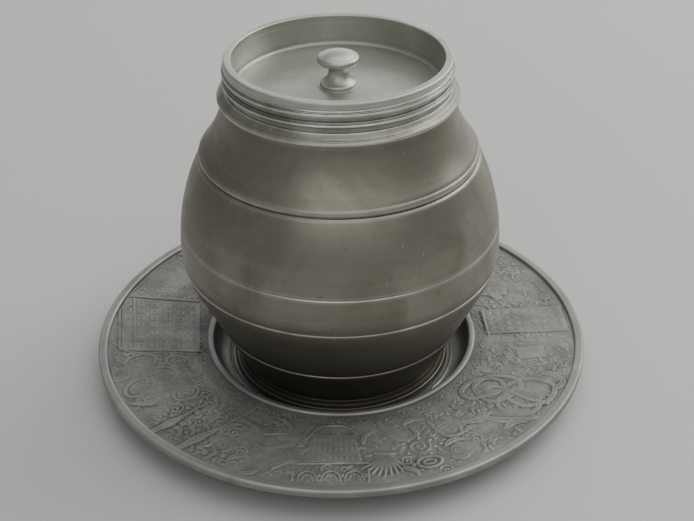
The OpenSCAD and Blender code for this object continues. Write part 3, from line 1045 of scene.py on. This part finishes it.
def carveStaffs():
    # two long oars with broad blades
    for points, widths in (
        ([(-70, -64.5), (-64, -59.5), (-59, -54.5), (-51, -46.5)], (1.1, 2.0, 0.55, 0.35)),
        ([(-60, -74.5), (-53, -68.5), (-45, -62), (-32, -49)], (1.1, 2.1, 0.55, 0.35)),
    ):
        path = smoothPath(points, 6)
        wide = np.interp(np.linspace(0, 1, len(path)), np.linspace(0, 1, 4), widths)
        stroke(path, wide, 0.40, "band")
        stroke(path, 0.24, 0.44)
    for k in range(7):
        scroll(
            -53 + k * 3.2 + chance.uniform(-1, 1), -59 - k * 3.4 + chance.uniform(-1.5, 1.5),
            chance.uniform(1.5, 2.6), chance.uniform(0, 6), 1 if k % 2 else -1, 0.4, 0.3, 1.1
        )


def softMasses(*places):
    # broad low swellings that carry the finer work
    for x, y, long, short, turn, height in places:
        dome(x, y, long, short, height, turn)


def carveFrontLeft():
    # stepped bracket with scrolls, between the oars and the terrace
    softMasses(
        (-33, -67, 9, 6, 0.9, 0.24), (-19, -66, 7, 5, -0.7, 0.24), (-28, -80, 11, 6, 0.4, 0.26),
        (-43, -71, 8, 5, -0.5, 0.2), (-16, -80, 6, 5, 0, 0.2)
    )
    each(
        stroke,
        (smoothPath([(-36, -58), (-31, -63), (-33, -70), (-27, -74), (-20, -72)]), 0.9, 0.38, "band"),
        (smoothPath([(-22, -57), (-19, -62), (-23, -68), (-15, -67), (-11, -61)]), 0.85, 0.38, "band"),
        ([(-29, -66), (-19, -65.2)], 0.5, 0.5),
    )
    for x, y, turn, way in (
        (-40, -65, 0.5, 1), (-36.5, -76, 2.6, -1), (-27, -81, 5.2, 1), (-16, -77, 3.4, -1),
        (-43, -73, 4.6, 1)
    ):
        scroll(x, y, 3.1, turn, way, 0.5, 0.38)
    for a, b, width, bend in (
        ((-45, -66), (-37, -60), 1.6, 0.25), ((-33, -79), (-42, -82), 1.5, -0.2),
        ((-25, -86), (-15, -82), 1.7, 0.2),
        ((-20, -76), (-11, -73), 1.4, -0.2), ((-38, -70), (-30, -67), 1.2, 0.3),
        ((-30, -86), (-37, -87), 1.3, 0.2), ((-14, -70), (-8, -66), 1.1, 0.2),
    ):
        leaf(a, b, width, 0.38, bend)


def carveFront():
    # raised terrace with a domed hall and three small arches under it
    stroke([(-16, -83), (10, -83)], 0.42, 0.55)
    stroke([(-16, -84.1), (10, -84.1)], 0.35, 0.35, mode="cut")
    panel([(-14, -82.6), (8, -82.6), (5, -66), (-11, -66)], 0.26, 0.6)
    stroke(smoothPath([(-11.5, -66), (-8, -61.6), (-3, -60.8), (2, -61.6), (5.5, -66)]), 0.6, 0.45)
    for k in range(9):
        stroke([(-10.5 + k * 1.85, -67), (-11.6 + k * 2.1, -81)], 0.24, 0.12, mode="cut")
    for row in range(5):
        for k in range(8):
            dome(-10.3 + k * 2.05 + (row % 2), -69.5 - row * 2.7, 0.5, 0.5, 0.13, mode="add")
    for k in range(3):
        x = -12.2 + k * 8.4
        angles = np.linspace(0, math.pi, 15)
        for reach, tall in ((3.4, 0.46), (2.2, 0.36)):
            arch = np.stack([x + reach * np.cos(angles), -92.2 + 1.5 * reach * np.sin(angles)], 1)
            stroke(arch, 0.36, tall)
        for j in range(3):
            stroke([(x - 1.2 + j * 1.2, -91.6), (x - 1.2 + j * 1.2, -89.4)], 0.24, 0.34)
        dome(x + 4.2, -89.5, 0.85, 1.5, 0.4)
    stroke([(-17.5, -87), (-17.5, -92)], 0.5, 0.4)
    stroke([(9.8, -86), (9.8, -93)], 0.5, 0.4)


def carveFrontRight():
    # a sheaf, a rosette and scrolled leaves
    softMasses(
        (16, -82, 7, 6, 0, 0.26), (29, -76, 8, 7, 0.3, 0.24), (20, -66, 9, 5, -0.5, 0.22),
        (40, -62, 9, 6, 0.4, 0.24), (45, -76, 10, 6, 0.5, 0.22), (54, -62, 8, 5, 0.6, 0.2)
    )
    for k in range(9):
        angle = math.radians(-150 + k * 15)
        tip = (15.5 + 9.5 * math.cos(angle), -79 + 9.5 * math.sin(angle) * 0.95 - 2.5)
        leaf((15.5, -79), tip, 0.8, 0.36, 0.05, veins=False)
    dome(15.5, -79.5, 4.2, 3.4, 0.34, shape="flat")
    stroke([(12.0, -77.4), (19, -77.8)], 0.6, 0.52)
    scroll(28.5, -74, 4.4, 0.6, -1, 0.6, 0.42, 1.7)
    for k in range(8):
        angle = k * math.tau / 8
        dome(28.5 + 5.7 * math.cos(angle), -74 + 5.3 * math.sin(angle), 1.5, 0.9, 0.34, angle)
    oval(32, -82.5, 4.6, 3.0, 0.3, 0.6, 0.42, "band")
    oval(32, -82.5, 2.3, 1.3, 0.3, 0.4, 0.34)
    stroke(smoothPath([(14, -59), (17, -66), (22, -69.5), (28, -67), (26, -62)]), 0.95, 0.4, "band")
    stroke(
        smoothPath([(33, -60), (36, -65), (40, -68), (45, -66), (43, -60), (38, -57)]), 0.8, 0.38,
        "band"
    )
    for a, b, width, bend in (
        ((35, -66), (46, -59), 1.5, 0.18), ((45, -60), (57.5, -53.5), 1.7, -0.14),
        ((23, -61), (31, -58), 1.3, 0.2), ((8, -72), (13, -64), 1.1, 0.2),
        ((38, -74), (47, -70), 1.5, 0.2), ((40, -80), (48, -77), 1.3, -0.2),
        ((22, -86), (28, -90), 1.3, 0.2), ((46, -66), (53, -63), 1.2, 0.25),
    ):
        leaf(a, b, width, 0.38, bend)
    for x, y, turn, way in (
        (42, -76, 0.4, 1), (50, -70, 2.2, -1), (52, -58, 4.0, 1), (24, -82, 1.0, 1), (38, -87, 3.0, -1)
    ):
        scroll(x, y, 2.5, turn, way, 0.42, 0.34)


def carveKnot():
    # loops of double edged ribbon with a feather beside them
    softMasses(
        (58, -40, 10, 7, 0.3, 0.2), (73, -43, 10, 9, 0.2, 0.22), (65, -56, 11, 5, -0.1, 0.2),
        (83, -34, 6, 5, 0.4, 0.18)
    )
    loops = (
        [(47, -40), (53, -33.5), (62, -34), (63, -40), (56, -44), (49, -45)],
        [(52, -38), (59, -31.5), (68, -33), (70, -39), (63, -46), (56, -47)],
        [(66, -37), (75, -34), (83, -39), (80, -48), (70, -51), (64, -45)],
        [(69, -40), (76, -45), (74, -54), (64, -56), (60, -49), (64, -43)],
    )
    for k, points in enumerate(loops):
        stroke(smoothPath(points, 8, loop=True), 1.0, 0.44 - 0.03 * k, "band")
    stroke(smoothPath([(54, -41), (60, -38.5), (66, -42), (72, -47), (79, -50)], 8), 0.85, 0.50, "band")
    for k in range(6):
        angle = 2.4 + k * 0.42
        stroke([(74, -43), (74 + 6.2 * math.cos(angle), -43 + 5.2 * math.sin(angle))], 0.24, 0.26)
    each(
        leaf,
        ((53, -57.5), (74, -58.5), 2.1, 0.40, -0.08),
        ((79, -31), (86, -37), 1.9, 0.36, 0.25),
        ((82, -41), (87, -33), 1.7, 0.34, -0.25),
        ((61, -65), (70, -61), 1.5, 0.32, 0.2),
    )
    scroll(57, -40, 2.6, 0.4, 1, 0.4, 0.42, 1.2)
    scroll(88, -25, 2.4, 1.4, -1, 0.4, 0.3)
    for k in range(12):
        dome(57 + chance.uniform(-3, 6), -63 + chance.uniform(-2, 3), 0.6, 0.5, 0.24)


def carveRight():
    # long house with a grid of windows, a bale on the ground and a lane
    facade([(61.5, -2), (95, -2), (94, 15.5), (60.5, 14.5)], 9, 4, 0.26, 0.56)
    stroke([(61.4, -3), (60.4, 15)], 0.6, 0.5)
    panel([(71, -21), (84, -20), (83, -11.5), (70.5, -12.5)], 0.34, 1.2)
    dome(84.5, -16, 1.8, 4.2, 0.36, shape="flat")
    stroke(smoothPath([(64, -9), (72, -7.5), (82, -8.5), (94, -6)]), 0.34, 0.28)
    stroke(smoothPath([(63, -24), (74, -25.5), (86, -23), (93, -20)]), 0.34, 0.28)
    stroke([(86, -22), (92.5, -24.5)], 0.35, 0.30, mode="cut")
    sprig(90, -10, -1.3, 6, 4)
    for k in range(22):
        dome(
            63.5 + chance.uniform(0, 6), -15 + chance.uniform(-9, 7), 0.7, 0.5, 0.2,
            chance.uniform(0, 3)
        )


def carveBack():
    # the far side: cottages, round trees, a fence and hills, all standing outwards
    hills = [
        (math.radians(a), 64 + 3.5 * math.sin(a * 0.21) + 2.0 * math.sin(a * 0.53))
        for a in range(12, 150, 4)
    ]
    stroke([(r * math.cos(a), r * math.sin(a)) for a, r in hills], 0.45, 0.34)
    stroke([((r + 6) * math.cos(a + 0.03), (r + 6) * math.sin(a + 0.03)) for a, r in hills], 0.35, 0.26)
    each(
        cottage,
        (66, 26, 13, 7.5, 4, 1),
        (47, 55, 12, 8, 3, 1),
        (20, 70, 14, 9, 4, 2),
        (-18, 73, 15, 8, 4, 1),
        (-46, 58, 12, 8, 3, 1),
    )
    for x, y, size in (
        (80, 30, 5.2), (76, 43, 4.6), (62, 42, 4.2), (58, 68, 4.6), (35, 68, 5.0), (36, 82, 4.0),
        (5, 76, 5.2), (-4, 88, 3.6), (-34, 72, 5.0), (-62, 60, 4.4), (-60, 47, 3.6), (88, 22, 3.4),
        (-32, 86, 3.8)
    ):
        tree(x, y, size)
    fence([(8, 68), (0, 66.5), (-10, 67.5)])
    fence([(66, 50), (58, 56), (52, 52)])
    for x, y, turn in ((70, 22, 2.4), (27, 86, 1.2), (-50, 78, 2.4), (-72, 58, 2.0), (12, 90, 1.6)):
        sprig(x, y, turn, 7, 4)


def isOpen(x, y, reach, limit=0.1):
    for dx, dy in ((0, 0), (reach, 0), (-reach, 0), (0, reach), (0, -reach)):
        far = math.hypot(x + dx, y + dy)
        if far < 62 or far > 94.5:
            return False
        row = int((far - reaches[0]) / (reaches[1] - reaches[0]))
        share = math.atan2(y + dy, x + dx) / math.tau
        column = int(share * reliefValues["around"]) % reliefValues["around"]
        if reliefHigh[row, column] > limit:
            return False
    return True


def fillGaps(tries, turnFrom, turnTo):
    for k in range(tries):
        turn, far = chance.uniform(turnFrom, turnTo), math.sqrt(chance.uniform(62**2, 94**2))
        size, kind, aim = chance.uniform(0.7, 2.2), chance.integers(0, 5), chance.uniform(0, math.tau)
        x, y = pointAt(0, 0, far, turn)
        if not isOpen(x, y, size * 0.9):
            continue
        if kind == 0:
            scroll(x, y, size * 0.9, aim, 1 if aim > 3 else -1, 0.42, 0.28, 1.1)
        elif kind == 1:
            leaf(
                pointAt(x, y, -size, aim), pointAt(x, y, size, aim), size * 0.42, 0.28, 0.15,
                veins=size > 1.8
            )
        elif kind == 2:
            for j in range(5):
                dome(
                    x + size * 0.5 * math.cos(aim + j * 1.26),
                    y + size * 0.5 * math.sin(aim + j * 1.26), size * 0.32, size * 0.24, 0.26,
                    aim + j * 1.26
                )
        elif kind == 3:
            dome(x, y, size * 0.9, size * 0.55, 0.22, aim, "flat")
            stroke(
                [pointAt(x, y, -size * 0.7, aim), pointAt(x, y, size * 0.7, aim)], 0.25, 0.12,
                mode="cut"
            )
        else:
            stroke(
                smoothPath(
                    [(x - size, y - size * 0.3), (x, y + size * 0.4), (x + size, y - size * 0.1)], 4
                ),
                0.36, 0.26
            )


def carveGround():
    # ragged tufts beside the ring, small curls and leaves in the gaps, hatching over the open ground
    for k in range(210):
        turn = k * math.tau / 210 + chance.uniform(-0.02, 0.02)
        far = 58.6 + chance.uniform(-0.5, 3.0)
        x, y = pointAt(0, 0, far, turn)
        lean = turn + math.pi / 2 + chance.uniform(-1.4, 1.4)
        size = chance.uniform(0.6, 1.5)
        stroke(
            [(x, y), pointAt(x, y, size, lean)], chance.uniform(0.25, 0.5), chance.uniform(0.12, 0.3)
        )
    fillGaps(2200, -3.0, -0.15)
    fillGaps(1500, -0.15, 3.28)
    grass(900, 61.5, 94.5)
    for k in range(26):
        turn = chance.uniform(0, math.tau)
        far = chance.uniform(70, 93)
        start = turn + chance.uniform(0.03, 0.09)
        path = [
            (
                (far + chance.uniform(-0.5, 0.5)) * math.cos(a),
                (far + chance.uniform(-0.5, 0.5)) * math.sin(a)
            )
            for a in np.linspace(turn, start, 6)
        ]
        stroke(path, 0.26, 0.14, mode="add")


def blurRelief(field, size):
    # soft average over the band, size in mm
    around = np.fft.fftfreq(field.shape[1], d=math.tau * 78 / field.shape[1])
    padded = np.vstack([field[::-1], field, field[::-1]])
    across = np.fft.fftfreq(padded.shape[0], d=reaches[1] - reaches[0])
    gain = np.exp(-2 * (math.pi * size) ** 2 * (around[None] ** 2 + across[:, None] ** 2))
    return np.fft.ifft2(np.fft.fft2(padded) * gain).real[field.shape[0] : 2 * field.shape[0]]


for carve in (
    carveLeft, carveStaffs, carveFrontLeft, carveFront, carveFrontRight, carveKnot, carveRight,
    carveBack, carveGround
):
    carve()
    print("relief:", carve.__name__)
tooth = blurRelief(chance.normal(0, 1, reliefHigh.shape), 0.35)
reliefHigh += tooth / tooth.std() * reliefValues["grainHeight"] * 0.4
broadWear = blurRelief(chance.normal(0, 1, reliefHigh.shape), 5.0)
# some parts are rubbed flatter
reliefHigh *= 0.88 * (1 + 0.22 * np.clip(broadWear / broadWear.std(), -2, 2))
reliefHigh = blurRelief(reliefHigh, 0.18)
rimFade = softStep((reaches - reaches[0]) / 0.5) * softStep((reaches[-1] - reaches) / 0.8)
reliefHigh *= rimFade[:, None]
sunk = blurRelief(reliefHigh, reliefValues["cavityReach"]) - reliefHigh
tight = blurRelief(reliefHigh, 0.5) - reliefHigh


def flangeTop(reach):
    (r0, z0), (r1, z1) = flangeOutline["innerTop"], flangeOutline["outerTop"]
    return z0 + (z1 - z0) * np.clip((reach - r0) / (r1 - r0), 0, 1)


def makeReliefSector(index, count):
    # one closed block: the carved top, the plain underside, two edge walls and two cut faces
    columns = reliefValues["around"] // count
    rows = reliefValues["across"]
    wear = reliefWear
    turnIndex = (np.arange(columns + 1) + index * columns) % reliefValues["around"]
    high = flangeTop(reaches)[:, None] + reliefHigh[:, turnIndex]
    top = np.stack([reliefX[:, turnIndex], reliefY[:, turnIndex], high], 2)
    turning = turns[turnIndex]
    loop = [
        np.stack([r * np.cos(turning), r * np.sin(turning), np.full(columns + 1, z)], 1)
        for r, z in flangeOutline["rest"]
    ]
    skin = np.concatenate([top, np.array(loop)], 0)
    total = len(skin)
    vertices = skin.transpose(1, 0, 2).reshape(-1, 3) * mm
    ring = np.arange(total)
    faces = []
    for k in range(columns):
        a, b = k * total + ring, (k + 1) * total + ring
        faces.append(np.stack([a, np.roll(a, -1), np.roll(b, -1), b], 1))
    faces = np.concatenate(faces).tolist()
    for end in (0, columns):
        face = [end * total + i for i in range(total)]
        faces.append(face if end else face[::-1])
    mesh = bpy.data.meshes.new("plateRelief%d" % (index + 1))
    mesh.from_pydata(vertices.tolist(), [], faces)
    edge = np.zeros((total, columns + 1), np.float32)
    hollow = np.zeros_like(edge)
    raised, sunkHere = tight[:, turnIndex], sunk[:, turnIndex] * wear["sunkGain"]
    edge[:rows] = np.clip(-raised * wear["edgeGain"] - wear["edgeStart"], 0, wear["edgeMost"])
    darkTone = wear["hollowStart"] + sunkHere + raised * wear["tightGain"]
    hollow[:rows] = np.clip(darkTone, 0, wear["hollowMost"])
    # the strip beside the ring is darker all round
    strip = softStep((wear["ringReach"] - reaches) / wear["ringFade"])
    hollow[:rows] += strip[:, None] * wear["ringHollow"]
    hollow[rows + 7 :] = wear["ringHollow"]
    storeNumbers(mesh, "edge", edge.T.ravel())
    storeNumbers(mesh, "hollow", hollow.T.ravel())
    mesh.materials.append(reliefPewter)
    piece = newPiece(mesh.name, mesh)
    outwardNormals(mesh)
    mesh.shade_smooth()
    mesh.set_sharp_from_angle(angle=math.radians(55))
    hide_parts("plate_flange")
    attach(piece, "plate")
    print("relief sector", index + 1, len(mesh.polygons), "faces")


for sector in range(reliefValues["sectors"]):
    makeReliefSector(sector, reliefValues["sectors"])


# rows of small cast grains that fill the strip between the ring and the scene
grainRows = {
    "plateGrainsInner": {"Radius": 57.4, "Count": 230, "Grain size": 0.42, "Seed": 21},
    "plateGrainsOuter": {"Radius": 58.9, "Count": 200, "Grain size": 0.50, "Seed": 22},
}
grainLevel = 10.42  # mm, just over the flat strip


def makeGrainTree():
    tree, given, result = newTree(
        "grainRow",
        "GeometryNodeTree",
        [
            ("Geometry", "Geometry", None),
            ("Radius", "Float", 57.0),
            ("Count", "Int", 200),
            ("Grain size", "Float", 0.5),
            ("Level", "Float", 10.4),
            ("Seed", "Int", 1),
            ("Metal", "Material", None),
        ],
        [("Geometry", "Geometry")],
    )
    tree.is_modifier = True
    seed = given["Seed"]

    def chanceBetween(low, high, ownSeed):
        inputs = {"Min": low, "Max": high, "Seed": ownSeed}
        return addNode(
            tree, "FunctionNodeRandomValue", inputs, data_type="FLOAT_VECTOR"
        ).outputs["Value"]

    far = {"Vertices": given["Count"], "Radius": times(tree, given["Radius"], mm)}
    ring = addNode(tree, "GeometryNodeMeshCircle", far).outputs["Mesh"]
    shift = chanceBetween((-0.75 * mm, -0.75 * mm, -0.1 * mm), (0.75 * mm, 0.75 * mm, 0.05 * mm), seed)
    level = joinVector(tree, z=times(tree, given["Level"], mm))
    moved = {"Geometry": ring, "Offset": doVector(tree, "ADD", shift, level)}
    points = addNode(tree, "GeometryNodeSetPosition", moved).outputs[0]
    ball = {"Radius": times(tree, given["Grain size"], mm), "Subdivisions": 2}
    inputs = {
        "Points": points,
        "Instance": addNode(tree, "GeometryNodeMeshIcoSphere", ball).outputs["Mesh"],
        "Rotation": chanceBetween((0, 0, 0), (0.3, 0.3, math.tau), plus(tree, seed, 5.0)),
        "Scale": chanceBetween((0.6, 0.45, 0.35), (1.7, 1.0, 0.75), plus(tree, seed, 9.0)),
    }
    grains = addNode(tree, "GeometryNodeInstanceOnPoints", inputs).outputs[0]
    closeTree(tree, grains, given["Metal"], result)
    return tree


grainTree = makeGrainTree()
for pieceName, values in grainRows.items():
    grains = newPiece(pieceName, bpy.data.meshes.new(pieceName))
    runNodes(grains, grainTree, {**values, "Level": grainLevel, "Metal": reliefPewter}).shade_smooth()
    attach(grains, "plate")
    print("grains", pieceName, len(grains.data.polygons), "faces")


# floor, camera and light
worldValues = {"colour": (0.86, 0.87, 0.86, 1), "strength": 0.36}
floorValues = {"size": 6.0, "colour": (0.50, 0.495, 0.485), "rough": 0.6}
cameraValues = {
    "place": (0.00266, -0.4203, 0.3119),
    "lookDown": 32.35,  # degrees below the horizon
    "roll": -0.44,
    "lens": 64.0,
    "sensor": 36.0,
}


def makeFloor():
    half = floorValues["size"] / 2
    mesh = bpy.data.meshes.new("floor")
    mesh.from_pydata(
        [(-half, -half, 0), (half, -half, 0), (half, half, 0), (-half, half, 0)], [], [(0, 1, 2, 3)]
    )
    floor = newPiece("floor", mesh)
    material, tree, shader = newMaterial("floorPaint")
    shader.inputs["Base Color"].default_value = (*floorValues["colour"], 1)
    shader.inputs["Roughness"].default_value = floorValues["rough"]
    mesh.materials.append(material)


def makeCamera():
    data = bpy.data.cameras.new("camera")
    data.lens = cameraValues["lens"]
    data.sensor_width = cameraValues["sensor"]
    data.clip_start = 0.01
    data.clip_end = 50
    camera = bpy.data.objects.new("camera", data)
    turn = Matrix.Rotation(math.radians(90 - cameraValues["lookDown"]), 4, "X")
    roll = Matrix.Rotation(math.radians(cameraValues["roll"]), 4, "Z")
    camera.matrix_world = Matrix.Translation(cameraValues["place"]) @ turn @ roll
    bpy.context.scene.collection.objects.link(camera)
    bpy.context.scene.camera = camera


def makeLight(name, place, aim, size, power, colour=(1, 1, 1)):
    data = bpy.data.lights.new(name, "AREA")
    data.shape = "RECTANGLE"
    data.size, data.size_y = size
    data.energy = power
    data.color = colour
    light = bpy.data.objects.new(name, data)
    light.location = place
    light.rotation_euler = (Vector(aim) - Vector(place)).to_track_quat("-Z", "Y").to_euler()
    bpy.context.scene.collection.objects.link(light)


makeFloor()
makeCamera()
makeLight("keyPanel", (1.1, 0.7, 0.95), (0, 0, 0.07), (1.2, 1.2), 13)
makeLight("topPanel", (0.4, 0.1, 1.5), (0, 0, 0.1), (1.9, 2.0), 15)
makeLight("backPanel", (0.3, 1.5, 0.5), (0, 0, 0.1), (2.4, 1.0), 9)
makeLight("frontPanel", (0.2, -1.7, 1.4), (0, 0, 0.05), (3.0, 1.6), 13.5)
world = bpy.data.worlds.new("room")
bpy.context.scene.world = world
world.use_nodes = True
roomLight = world.node_tree.nodes["Background"].inputs
roomLight["Color"].default_value = worldValues["colour"]
roomLight["Strength"].default_value = worldValues["strength"]
